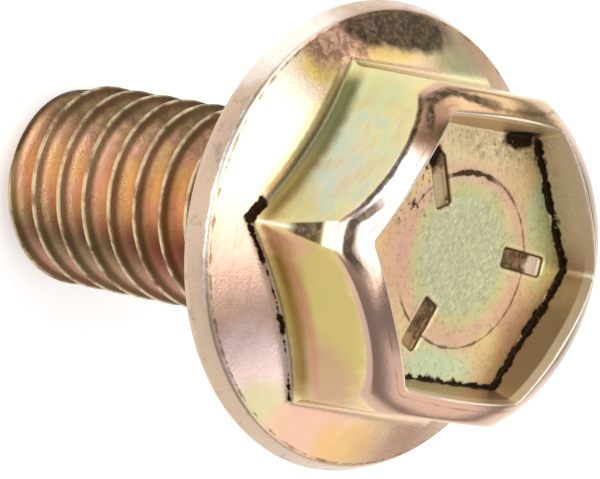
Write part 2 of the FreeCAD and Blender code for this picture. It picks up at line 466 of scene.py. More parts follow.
def aimed(place, aim):
    """Place and turn of a camera or lamp that looks at its aim, both given in millimetres."""
    place = Vector(place) * MM
    looking = (Vector(aim) * MM - place).to_track_quat("-Z", "Y").to_matrix().to_4x4()
    return Matrix.Translation(place) @ looking


def place_camera():
    """Looks down on the standing screw from 45 degrees, rolled so that it lies across the picture."""
    camera = new_object("camera", bpy.data.cameras.new("camera"))
    camera.data.lens = CAMERA_LENS
    camera.data.sensor_width = 36
    camera.data.clip_start = 0.01
    camera.data.clip_end = 10
    roll = Matrix.Rotation(math.radians(CAMERA_ROLL), 4, "Z")
    camera.matrix_world = aimed(CAMERA_PLACE, CAMERA_AIM) @ roll
    bpy.context.scene.camera = camera


def soft_box(name, place, width, height, level):
    """A rectangular lamp in millimetres; its level is the brightness of its face."""
    lamp = bpy.data.lights.new(name, "AREA")
    lamp.shape = "RECTANGLE"
    lamp.size = width * MM
    lamp.size_y = height * MM
    lamp.energy = level * math.pi * lamp.size * lamp.size_y
    new_object(name, lamp).matrix_world = aimed(place, SOFT_BOX_AIM)


def tone(name):
    """Linear colour of a tone's name or six-figure code."""
    code = TONES.get(name, name)
    parts = [int(code[place:place + 2], 16) / 255 for place in (0, 2, 4)]
    linear = [part / 12.92 if part <= 0.04045 else ((part + 0.055) / 1.055) ** 2.4 for part in parts]
    return (*linear, 1)


class Board:
    """A node tree with short ways to add nodes and join them."""

    def __init__(self, tree):
        self.tree = tree

    def node(self, kind, inputs, **settings):
        """A new node with its settings made and its inputs joined or set."""
        made = self.tree.nodes.new("ShaderNode" + kind)
        for name, value in settings.items():
            setattr(made, name, value)
        for key, value in inputs.items():
            if isinstance(value, bpy.types.NodeSocket):
                self.tree.links.new(value, made.inputs[key])
            else:
                made.inputs[key].default_value = value
        return made

    def sum(self, operation, *values):
        """The result of a maths node."""
        return self.node("Math", dict(enumerate(values)), operation=operation).outputs[0]

    def vector(self, operation, *values):
        """The vector from a vector maths node."""
        return self.node("VectorMath", dict(enumerate(values)), operation=operation).outputs["Vector"]

    def both(self, first, second):
        """The product of two values."""
        return self.sum("MULTIPLY", first, second)

    def length(self, value):
        """The length of a vector."""
        return self.node("VectorMath", {0: value}, operation="LENGTH").outputs["Value"]

    def noise(self, place, scale, detail=3.0, roughness=0.5, distortion=0.0):
        """Cloudy values round a half."""
        inputs = {"Vector": place, "Scale": scale, "Detail": detail, "Roughness": roughness,
                  "Distortion": distortion}
        return self.node("TexNoise", inputs).outputs["Fac"]

    def ease(self, value, start, end):
        """Climbs smoothly from 0 to 1 while the value goes from start to end."""
        inputs = {"Value": value, "From Min": start, "From Max": end}
        return self.node("MapRange", inputs, interpolation_type="SMOOTHSTEP").outputs[0]

    def mix(self, mask, under, over):
        """The over colour on the under colour where the mask is 1; a colour is a socket or a tone."""
        under = tone(under) if isinstance(under, str) else under
        over = tone(over) if isinstance(over, str) else over
        return self.node("Mix", {0: mask, 6: under, 7: over}, data_type="RGBA").outputs[2]

    def lay(self, colour, mask, strength, over):
        """The over colour laid on a colour where the mask is 1, as strongly as is given."""
        return self.mix(self.both(mask, strength), colour, over)

    def kept(self, name):
        """A value kept on the skin's vertices."""
        return self.node("Attribute", {}, attribute_name=name).outputs["Fac"]

    def effect(self, tree, values):
        """A node group placed with its own values; gives its one output."""
        return self.node("Group", values, node_tree=tree).outputs[0]


def new_effect(name, sockets, result, result_kind):
    """An empty node group with a place, other named inputs and one named output."""
    tree = bpy.data.node_groups.new(name, "ShaderNodeTree")
    for socket, kind, value in [("Place", "Vector", (0, 0, 0))] + sockets:
        made = tree.interface.new_socket(socket, in_out="INPUT", socket_type="NodeSocket" + kind)
        made.default_value = value
    tree.interface.new_socket(result, in_out="OUTPUT", socket_type="NodeSocket" + result_kind)
    board = Board(tree)
    given = tree.nodes.new("NodeGroupInput").outputs
    out = tree.nodes.new("NodeGroupOutput").inputs[0]
    return board, given, out


def film_effect():
    """Chromate film, whose colour goes with its thickness from pale blue over yellow to mauve."""
    board, given, out = new_effect("chromate film", [
        ("Thickness", "Float", 0.5), ("Drift", "Float", 0.4),
        ("Patches", "Float", 0.4)], "Color", "Color")
    broad = board.noise(given["Place"], given["Patches"], 2.0, 0.45, 0.6)
    fine = board.noise(given["Place"], 2.6, 4.0, 0.6)
    swing = board.sum("ADD", board.sum("SUBTRACT", broad, 0.5),
                      board.both(board.sum("SUBTRACT", fine, 0.5), FINE_FILM))
    drift = board.both(given["Drift"], 2.0)
    thickness = board.sum("MULTIPLY_ADD", swing, drift, given["Thickness"])
    ramp = board.node("ValToRGB", {"Fac": thickness})
    stops = ramp.color_ramp.elements
    while len(stops) < len(FILM_COLOURS):
        stops.new(0.5)
    for stop, (position, code) in zip(stops, FILM_COLOURS):
        stop.position = position
        stop.color = tone(code)
    board.tree.links.new(ramp.outputs["Color"], out)
    return board.tree


def patch_effect():
    """Mask of one ragged, soft-edged patch."""
    board, given, out = new_effect("plating patch", [
        ("Middle", "Vector", (0, 0, 0)), ("Reach", "Vector", (1, 1, 1)),
        ("Softness", "Float", 0.4), ("Ragged", "Float", 0.5), ("Grain", "Float", 1.2)], "Mask", "Float")
    offset = board.vector("SUBTRACT", given["Place"], given["Middle"])
    offset = board.vector("DIVIDE", offset, given["Reach"])
    cloud = board.sum("SUBTRACT", board.noise(given["Place"], given["Grain"], 5.0, 0.6), 0.5)
    ragged = board.both(given["Ragged"], 2.0)
    away = board.sum("MULTIPLY_ADD", cloud, ragged, board.length(offset))
    start = board.sum("ADD", given["Softness"], 1.0)
    mask = board.ease(away, start, board.sum("SUBTRACT", 1.0, given["Softness"]))
    board.tree.links.new(mask, out)
    return board.tree


def line_effect():
    """Mask of a ragged line that follows an edge at a distance."""
    board, given, out = new_effect("ragged line", [
        ("Distance", "Float", 0.0), ("Middle", "Float", 0.0), ("Half width", "Float", 0.2),
        ("Softness", "Float", 0.05), ("Ragged", "Float", 0.1), ("Grain", "Float", 3.0)],
        "Mask", "Float")
    cloud = board.sum("SUBTRACT", board.noise(given["Place"], given["Grain"], 6.0, 0.65), 0.5)
    off = board.sum("ABSOLUTE", board.sum("SUBTRACT", given["Distance"], given["Middle"]))
    off = board.sum("MULTIPLY_ADD", cloud, board.both(given["Ragged"], 2.0), off)
    start = board.sum("ADD", given["Half width"], given["Softness"])
    mask = board.ease(off, start, board.sum("SUBTRACT", given["Half width"], given["Softness"]))
    board.tree.links.new(mask, out)
    return board.tree


def mottle_effect():
    """Mask of fine speckled marks that cover a share of the surface."""
    board, given, out = new_effect("fine mottle", [
        ("Grain", "Float", 4.0), ("Share", "Float", 0.5), ("Softness", "Float", 0.06)],
        "Mask", "Float")
    cloud = board.noise(given["Place"], given["Grain"], 8.0, 0.72, 0.4)
    edge = board.sum("MULTIPLY_ADD", given["Share"], -0.4, 0.7)
    mask = board.ease(cloud, board.sum("SUBTRACT", edge, given["Softness"]),
                      board.sum("ADD", edge, given["Softness"]))
    board.tree.links.new(mask, out)
    return board.tree


def grain_effect():
    """Height of the plating's fine grain and of broader dents from handling."""
    board, given, out = new_effect("plating grain", [
        ("Fine", "Float", 0.3), ("Broad", "Float", 0.6)], "Height", "Float")
    fine = board.noise(given["Place"], 9.0, 4.0, 0.65)
    broad = board.noise(given["Place"], 0.9, 2.0, 0.5)
    height = board.sum("ADD", board.both(fine, given["Fine"]), board.both(broad, given["Broad"]))
    board.tree.links.new(height, out)
    return board.tree


class Finish(Board):
    """A metal finish: its material, shader and effects, and the place on the skin in mm."""

    def __init__(self, name, effects):
        self.material = bpy.data.materials.new(name)
        self.material.use_nodes = True
        super().__init__(self.material.node_tree)
        self.effects = effects
        self.shader = self.tree.nodes["Principled BSDF"]
        self.shader.inputs["Metallic"].default_value = 1.0
        found = self.node("TexCoord", {}).outputs["Object"]
        self.place = self.vector("MULTIPLY", found, (1 / MM, 1 / MM, 1 / MM))

    def shared(self, kind, values):
        """One of the shared effects at the place on the skin."""
        return self.effect(self.effects[kind], {"Place": self.place, **values})

    def film(self, thickness, drift, patches):
        """Colour of the chromate film."""
        return self.shared("film", {"Thickness": thickness, "Drift": drift, "Patches": patches})

    def mottle(self, grain, share, softness=0.06, place=None):
        """Mask of fine speckled marks."""
        return self.shared("mottle", {
            "Place": place or self.place, "Grain": grain, "Share": share, "Softness": softness})

    def region(self, middle, reach, softness=0.3, ragged=0.3, grain=1.2):
        """Mask of one part of the skin."""
        return self.shared("patch", {
            "Middle": middle, "Reach": reach, "Softness": softness, "Ragged": ragged, "Grain": grain})

    def line(self, distance, middle, half_width, softness, ragged, grain):
        """Mask of a ragged line where a distance nears its middle value."""
        return self.shared("line", {
            "Distance": distance, "Middle": middle, "Half width": half_width, "Softness": softness,
            "Ragged": ragged, "Grain": grain})

    def edge_line(self, kept, middle, half_width, softness, ragged, grain=3.0):
        """Mask of a ragged line along one of the skin's edges."""
        return self.line(self.kept(kept), middle, half_width, softness, ragged, grain)

    def lay_patches(self, colour, patches, grain=1.2):
        """A table of soft patches laid over a colour."""
        for middle, reach, softness, ragged, strength, over in patches:
            mask = self.region(middle, reach, softness, ragged, grain)
            colour = self.lay(colour, mask, strength, over)
        return colour

    def complete(self, colour, rougher, rough, rougher_level, fine, broad, strength):
        """Joins colour, roughness of plain places and of those in the rougher mask, and grain; gives
        the material.
        """
        links = self.tree.links
        links.new(colour, self.shader.inputs["Base Color"])
        cloud = self.noise(self.place, 1.7, 4.0, 0.6)
        clean = self.sum("MULTIPLY_ADD", cloud, 2 * ROUGHNESS_SWING, rough - ROUGHNESS_SWING)
        roughness = self.sum("MULTIPLY_ADD", rougher, rougher_level - rough, clean)
        links.new(roughness, self.shader.inputs["Roughness"])
        height = self.shared("grain", {"Fine": fine, "Broad": broad})
        bump = self.node("Bump", {"Strength": strength, "Distance": GRAIN_DEPTH, "Height": height})
        links.new(bump.outputs["Normal"], self.shader.inputs["Normal"])
        return self.material


# Soft patches of a finish: middle, reach, softness, raggedness, strength, colour
FLANGE_PATCHES = [
    ((-3.4, -7.0, 17.2), (3.6, 2.6, 1.6), 0.4, 0.3, 0.7, "efe3cf"),
    ((2.6, -7.2, 17.4), (2.6, 1.5, 1.5), 0.5, 0.6, 0.7, "e6bfae"),
    ((5.2, -5.6, 17.4), (1.6, 1.9, 1.5), 0.4, 0.5, 0.85, "f6dad6"),
    ((6.5, -4.8, 17.3), (0.9, 1.1, 1.0), 0.5, 0.5, 0.8, "d2cc9c"),
    ((7.3, -2.4, 17.5), (1.4, 1.6, 1.0), 0.5, 0.5, 0.8, "e2b49e"),
    ((7.6, -0.2, 17.4), (1.0, 1.5, 1.0), 0.5, 0.5, 0.8, "e4b878"),
    ((7.5, 3.0, 17.2), (1.4, 1.6, 1.0), 0.5, 0.5, 0.7, "dcae94"),
    ((-6.7, 2.6, 17.9), (1.0, 1.8, 1.0), 0.5, 0.5, 0.9, "dcdaa2"),
    ((-7.3, 4.2, 17.1), (0.9, 1.6, 1.0), 0.5, 0.5, 0.8, "efc29a"),
    ((-5.9, -4.9, 17.5), (0.7, 0.8, 0.8), 0.5, 0.5, 0.9, "e2c468"),
    ((-6.75, -2.4, 17.8), (0.5, 2.0, 0.5), 0.5, 0.4, 0.8, "cdb062"),
]
HEX_PATCHES = [
    ((-3.1, -5.4, 20.0), (3.4, 2.2, 2.6), 0.3, 0.2, 0.85, "c6c8a0"),
    ((-3.2, -5.3, 19.6), (1.1, 1.1, 1.0), 0.8, 0.5, 0.75, "bccab6"),
    ((-1.5, -6.2, 20.0), (1.2, 1.1, 0.9), 0.8, 0.5, 0.75, "b9c8bc"),
    ((-2.4, -5.7, 20.8), (1.1, 1.0, 0.8), 0.8, 0.5, 0.5, "c9bcae"),
    ((-4.2, -4.6, 21.0), (1.2, 1.1, 0.9), 0.8, 0.5, 0.7, "d6ca90"),
    ((-5.3, -4.0, 20.0), (1.0, 1.0, 1.2), 0.8, 0.5, 0.7, "c0c690"),
    ((-0.7, -6.6, 19.5), (0.9, 0.9, 0.9), 0.8, 0.5, 0.8, "cfbf78"),
    ((2.8, -5.6, 20.4), (3.6, 2.4, 2.0), 0.3, 0.3, 0.95, "b8a45a"),
    ((5.2, -4.1, 19.6), (1.6, 1.4, 1.5), 0.5, 0.5, 0.85, "b88c72"),
    ((0.7, -6.8, 19.2), (0.6, 0.6, 1.2), 0.6, 0.6, 0.8, "c98f78"),
    ((2.4, -6.0, 19.1), (2.2, 1.6, 0.6), 0.5, 0.4, 0.8, "9c7a3c"),
]
INDENT_PATCHES = [
    ((-4.3, 0.0, 21.5), (1.3, 3.0, 0.6), 0.5, 0.6, 0.8, "e2cfa6"),
    ((-2.1, 3.7, 21.5), (1.5, 0.8, 0.6), 0.6, 0.6, 0.9, "c9d2a8"),
    ((4.1, -0.4, 21.5), (0.8, 1.9, 0.6), 0.6, 0.5, 0.95, "c9d4ac"),
    ((-0.6, 4.3, 21.5), (1.6, 0.8, 0.6), 0.6, 0.5, 0.8, "c4c98c"),
    ((0.2, -3.3, 21.5), (2.2, 0.9, 0.6), 0.5, 0.5, 0.7, "d8ae90"),
    ((2.5, 3.3, 21.5), (1.5, 0.8, 0.6), 0.6, 0.6, 0.7, "cfa284"),
]
THREAD_PATCHES = [
    # Painted shade: the thread darker on its -X side
    ((-3.3, -1.5, 7.0), (2.0, 3.4, 12.0), 0.5, 0.5, 0.9, "6e583c"),
    # Painted shade with a pink tint: the thread darker on its +X side
    ((3.3, -1.8, 7.0), (2.0, 3.4, 12.0), 0.5, 0.5, 0.85, "a87a6c"),
    # Painted highlight: the thread lighter in its middle on the -Y side
    ((-0.7, -3.6, 7.0), (2.0, 2.2, 12.0), 0.6, 0.5, 0.85, "e4ac8a"),
    ((2.6, -2.8, 5.0), (0.8, 1.6, 3.0), 0.6, 0.8, 0.5, "93875e"),
    ((2.2, -3.0, 9.5), (0.9, 1.6, 2.6), 0.6, 0.8, 0.7, "b4766a"),
]
CROWN_PATCHES = [
    ((3.6, -4.6, 22.0), (2.6, 1.8, 1.4), 0.4, 0.4, 0.7, "b8998c"),
    # Painted highlight: a near-white patch on the crown by the -Y corner
    ((-1.7, -5.3, 22.6), (2.4, 1.7, 1.0), 0.5, 0.3, 0.9, "fff4ec"),
    ((-5.6, 0.6, 22.5), (1.3, 3.4, 1.2), 0.3, 0.4, 0.9, "cbac7f"),
    # Painted shade: the crown darkened on its +Y side
    ((0.0, 5.4, 22.8), (5.2, 1.8, 1.2), 0.3, 0.3, 0.8, "a8947c"),
    ((-4.4, -3.9, 22.5), (1.3, 1.2, 1.0), 0.5, 0.5, 0.95, "8a6a52"),
]
WALL_PATCHES = [
    ((-3.0, 4.2, 22.4), (2.8, 2.8, 1.3), 0.4, 0.3, 0.9, "f4ecda"),
    ((3.2, 4.0, 22.3), (2.4, 2.2, 1.3), 0.4, 0.3, 0.9, "624831"),
]
# Painted highlights on the lit end walls of the grade marks
MARK_LIT_END_PATCHES = [
    ((0.0, 3.95, 21.4), (0.5, 0.46, 0.6), 0.25, 0.6, 0.95, "f2dcc8"),
    ((-2.2, -1.56, 21.4), (0.85, 0.5, 0.6), 0.25, 0.6, 0.95, "cdb892"),
    ((3.35, -1.9, 21.4), (0.34, 0.34, 0.6), 0.25, 0.6, 0.95, "b8936a"),
]

# Dirty stretches of the corner between hex and flange: middle, reach, half width of the dirt
ROOT_DIRT = [
    ((-0.45, -7.12, 17.72), (0.62, 0.5, 0.5), 0.24),
    ((0.75, -6.95, 17.75), (1.2, 0.8, 0.6), 0.1),
    ((3.62, -5.36, 18.12), (0.55, 0.4, 0.4), 0.11),
    ((6.0, -3.9, 17.78), (0.4, 0.36, 0.36), 0.07),
    ((2.3, -6.1, 17.9), (1.5, 1.2, 0.6), 0.015),
    ((4.9, -4.6, 17.9), (1.3, 1.2, 0.6), 0.01),
]

# Direction from the lighter sides of the indent to the darker ones
DARKER_WAY = (0.5, 0.866, 0.0)


def lay_root_dirt(coat, colour):
    """Black-brown dirt in the corner between the hex and the flange; gives colour and mask."""
    darkened = 0.0
    for middle, reach, half_width in ROOT_DIRT:
        stretch = coat.region(middle, reach, 0.15, 0.35)
        line = coat.edge_line("from_root", 0.12, half_width, 0.03, 0.2, 4.0)
        darkened = coat.sum("MAXIMUM", coat.both(stretch, line), darkened)
    return coat.mix(darkened, colour, "root_dirt"), darkened


def flange_finish(effects):
    """Pale satin plating with pink and yellow patches, one dark stain and a plain rim; painted shade in
    the fillet by the hex, and painted highlights along the ridge above it and along the crease.
    """
    coat = Finish("flange plating", effects)
    colour = coat.film(0.56, 0.3, 0.35)
    colour = coat.mix(0.45, colour, "flange_veil")
    colour = coat.lay_patches(colour, FLANGE_PATCHES)
    blush = coat.region((-6.9, -4.1, 17.2), (1.2, 1.6, 0.9), 0.3, 0.5)
    blush_speck = coat.mottle(2.6, 0.5)
    blush_colour = coat.mix(blush_speck, "blush_light", "blush_dark")
    colour = coat.lay(colour, blush, 0.85, blush_colour)
    dark_patch = coat.region((-7.75, -1.2, 17.3), (0.95, 3.0, 0.9), 0.25, 0.35)
    speck = coat.mottle(3.4, 0.6, 0.12)
    dark_mottle_colour = coat.mix(speck, "stain_light", "stain_dark")
    colour = coat.lay(colour, dark_patch, 0.94, dark_mottle_colour)
    streak = coat.noise(coat.vector("MULTIPLY", coat.place, (0.5, 3.6, 3.6)), 1.0, 4.0, 0.6)
    streak_part = coat.region((2.2, -7.2, 17.4), (2.6, 1.4, 1.3), 0.6, 0.5)
    streak = coat.both(coat.ease(streak, 0.46, 0.62), streak_part)
    colour = coat.lay(colour, streak, 0.4, "flange_streak")
    shaded_side = coat.region((-3.4, -5.6, 17.9), (3.3, 2.6, 1.2), 0.25, 0.2)
    # Painted highlight: a bright yellow line along the ridge between the cone and the fillet, on the
    # shaded side
    ridge_highlight = coat.edge_line("from_root", 0.5, 0.1, 0.15, 0.12, 2.0)
    colour = coat.lay(colour, coat.both(ridge_highlight, shaded_side), 0.7, "ridge_highlight")
    # Painted shade: a darker green band in the concave fillet by the hex, over a greenish tint, on the
    # shaded side
    fillet_shade = coat.edge_line("from_root", 0.17, 0.2, 0.09, 0.06)
    by_corner = coat.region((-1.3, -6.9, 17.8), (1.4, 0.9, 0.8), 0.6)
    fillet_shade_colour = coat.mix(by_corner, "green_fillet_shade", "green_fillet_shade_by_corner")
    colour = coat.lay(colour, coat.both(fillet_shade, shaded_side), 0.92, fillet_shade_colour)
    colour, darkened = lay_root_dirt(coat, colour)
    rim = coat.ease(coat.kept("from_crease"), -0.06, 0.06)
    rim_speck = coat.mottle(2.0, 0.25)
    rim_colour = coat.lay("rim", rim_speck, 0.6, "rim_speck")
    pale_rim = coat.region((-6.6, -5.6, 16.5), (2.0, 2.4, 1.2), 0.5, 0.5)
    rim_colour = coat.lay(rim_colour, pale_rim, 0.8, "pale_rim")
    colour = coat.mix(rim, colour, rim_colour)
    # Pale broken line along the crease: partly wear, partly a painted highlight
    worn_and_lit = coat.edge_line("from_crease", 0.06, 0.07, 0.04, 0.16, 2.4)
    worn_and_lit_part = coat.region((-1.0, -8.6, 16.8), (3.6, 1.2, 1.0), 0.5, 0.6)
    colour = coat.lay(colour, coat.both(worn_and_lit, worn_and_lit_part), 0.9, "worn_and_lit_crease")
    crease = coat.edge_line("from_crease", -0.13, 0.02, 0.04, 0.2, 1.7)
    colour = coat.lay(colour, crease, 0.8, "crease_line")
    rougher = coat.sum("MAXIMUM", dark_patch, darkened)
    return coat.complete(colour, rougher, 0.27, 0.5, 0.35, 0.6, 0.5)


def hex_finish(effects):
    """Yellow-green and mint film on the sides, pink-beige on the crown, stained along its middle and
    partly darkened there by a painted dark reflection; painted shadow above the root, and painted
    highlights on a corner, the rim and the crown.
    """
    coat = Finish("hex plating", effects)
    colour = coat.film(0.4, 0.3, 0.4)
    colour = coat.lay_patches(colour, HEX_PATCHES)
    colour = coat.mix(0.18, colour, "hex_veil")
    streak = coat.noise(coat.vector("MULTIPLY", coat.place, (0.8, 0.8, 1.2)), 1.0, 5.0, 0.6, 0.2)
    face_cloud = coat.region((-3.0, -5.4, 20.4), (3.0, 2.4, 2.0), 0.3)
    cool = coat.both(coat.ease(streak, 0.46, 0.64), face_cloud)
    colour = coat.lay(colour, cool, 0.6, "cool_cloud")
    warm = coat.both(coat.ease(streak, 0.52, 0.36), face_cloud)
    colour = coat.lay(colour, warm, 0.6, "warm_cloud")
    face_left = coat.region((-3.1, -5.4, 18.4), (3.4, 2.6, 1.6), 0.2, 0.2)
    face_right = coat.region((3.3, -5.3, 18.4), (3.2, 2.4, 1.6), 0.2, 0.2)
    root_cloud = coat.noise(coat.place, 2.2, 5.0, 0.6)
    above_root = coat.sum("SUBTRACT", coat.kept("from_root"), 0.25)
    above_root = coat.sum("MULTIPLY_ADD", root_cloud, 0.5, above_root)
    # Painted shadow: a dark olive band on the side just above the root, fading up the face
    root_shadow = coat.both(coat.ease(above_root, -1.15, -0.55),
                      coat.ease(coat.kept("from_root"), -0.05, -0.13))
    by_corner = coat.region((-1.0, -6.8, 18.6), (2.4, 1.6, 1.4), 0.7)
    root_shadow_colour = coat.mix(by_corner, "olive_root_shadow", "olive_root_shadow_by_corner")
    colour = coat.lay(colour, coat.both(root_shadow, face_left), 0.92, root_shadow_colour)
    rosy = coat.edge_line("from_root", -1.2, 0.2, 0.35, 0.3, 1.0)
    colour = coat.lay(colour, coat.both(rosy, face_right), 0.8, "rosy_band")
    brown = coat.edge_line("from_root", -0.42, 0.36, 0.28, 0.15, 1.6)
    colour = coat.lay(colour, coat.both(brown, face_right), 0.85, "brown_band")
    light = coat.edge_line("from_root", -0.02, 0.03, 0.035, 0.02)
    colour = coat.lay(colour, coat.both(light, face_left), 0.8, "root_line")
    parts = coat.node("SeparateXYZ", {"Vector": coat.place})
    # Painted highlight: a pale line up the hex corner on the -Y side
    corner_edge_highlight = coat.line(parts.outputs["X"], -0.02, 0.06, 0.05, 0.05, 2.0)
    edge_part = coat.region((0.0, -7.1, 18.9), (0.6, 0.6, 1.7), 0.2)
    colour = coat.lay(colour, coat.both(corner_edge_highlight, edge_part), 0.85, "corner_edge_highlight")

    lower = coat.region((3.6, -4.6, 21.9), (3.6, 2.6, 1.6), 0.3, 0.2)
    below_edge = coat.sum("MULTIPLY_ADD", lower, -0.26, coat.kept("from_crown_edge"))
    crown = coat.ease(below_edge, 0.12, -0.08)
    crown_colour = coat.film(0.66, 0.22, 0.5)
    crown_colour = coat.mix(0.6, crown_colour, "crown_veil")
    crown_colour = coat.lay_patches(crown_colour, CROWN_PATCHES)
    colour = coat.mix(crown, colour, crown_colour)
    speck = coat.mottle(4.2, 0.6, 0.1)
    dark_mottle_colour = coat.mix(speck, "crown_mottle_light", "crown_mottle_dark")
    lean = coat.ease(coat.kept("corner_lean"), 0.2, 0.8)
    near_edge = coat.region((0.0, -6.9, 20.6), (1.6, 1.0, 1.6), 0.15)
    height = parts.outputs["Z"]
    glint = coat.both(coat.both(lean, near_edge), coat.ease(height, 20.95, 21.15))
    colour = coat.lay(colour, glint, 0.85, "corner_glint")
    corner = coat.both(coat.both(lean, near_edge), coat.both(
        coat.ease(height, 19.3, 19.9), coat.ease(height, 21.1, 20.85)))
    near_corner = coat.region((-0.3, -6.4, 22.1), (1.7, 1.8, 1.2), 0.4, 0.3)
    band = coat.edge_line("from_crown_edge", -0.52, 0.2, 0.08, 0.12, 2.4)
    top_corner = coat.region((-5.2, -3.0, 22.4), (1.4, 2.2, 1.0), 0.4, 0.4)
    top_band = coat.edge_line("from_crown_edge", -0.62, 0.22, 0.14, 0.25, 2.4)
    far_band = coat.edge_line("from_crown_edge", -0.72, 0.1, 0.12, 0.3, 1.8)
    far_top = coat.region((-5.6, 0.9, 22.5), (1.3, 2.6, 1.0), 0.5, 0.4)
    side_band = coat.edge_line("from_crown_edge", -0.1, 0.09, 0.07, 0.14, 2.0)
    face_top = coat.region((-3.2, -5.3, 21.9), (3.0, 2.4, 1.4), 0.2, 0.3)
    # Mottled stain on the crown, partly a painted dark reflection: the band across the crown by the -Y
    # corner
    dark_patch = coat.sum("MAXIMUM", corner, coat.both(band, near_corner))
    dark_patch = coat.sum("MAXIMUM", dark_patch, coat.both(side_band, face_top))
    dark_patch = coat.sum("MAXIMUM", dark_patch, coat.both(top_band, top_corner))
    colour = coat.lay(colour, coat.both(far_band, far_top), 0.75, "far_streak")
    colour = coat.lay(colour, dark_patch, 0.9, dark_mottle_colour)
    scratch = coat.edge_line("from_rim", 0.34, 0.02, 0.03, 0.14, 0.9)
    colour = coat.lay(colour, scratch, 0.6, "crown_scratch")
    # Painted highlight: a bright line along the indent's rounded rim
    rim_highlight = coat.ease(coat.kept("from_rim"), 0.1, 0.02)
    colour = coat.lay(colour, rim_highlight, 0.8, "rim_highlight")
    colour, darkened = lay_root_dirt(coat, colour)
    rougher = coat.sum("MAXIMUM", dark_patch, darkened)
    return coat.complete(colour, rougher, 0.19, 0.42, 0.25, 0.7, 0.45)


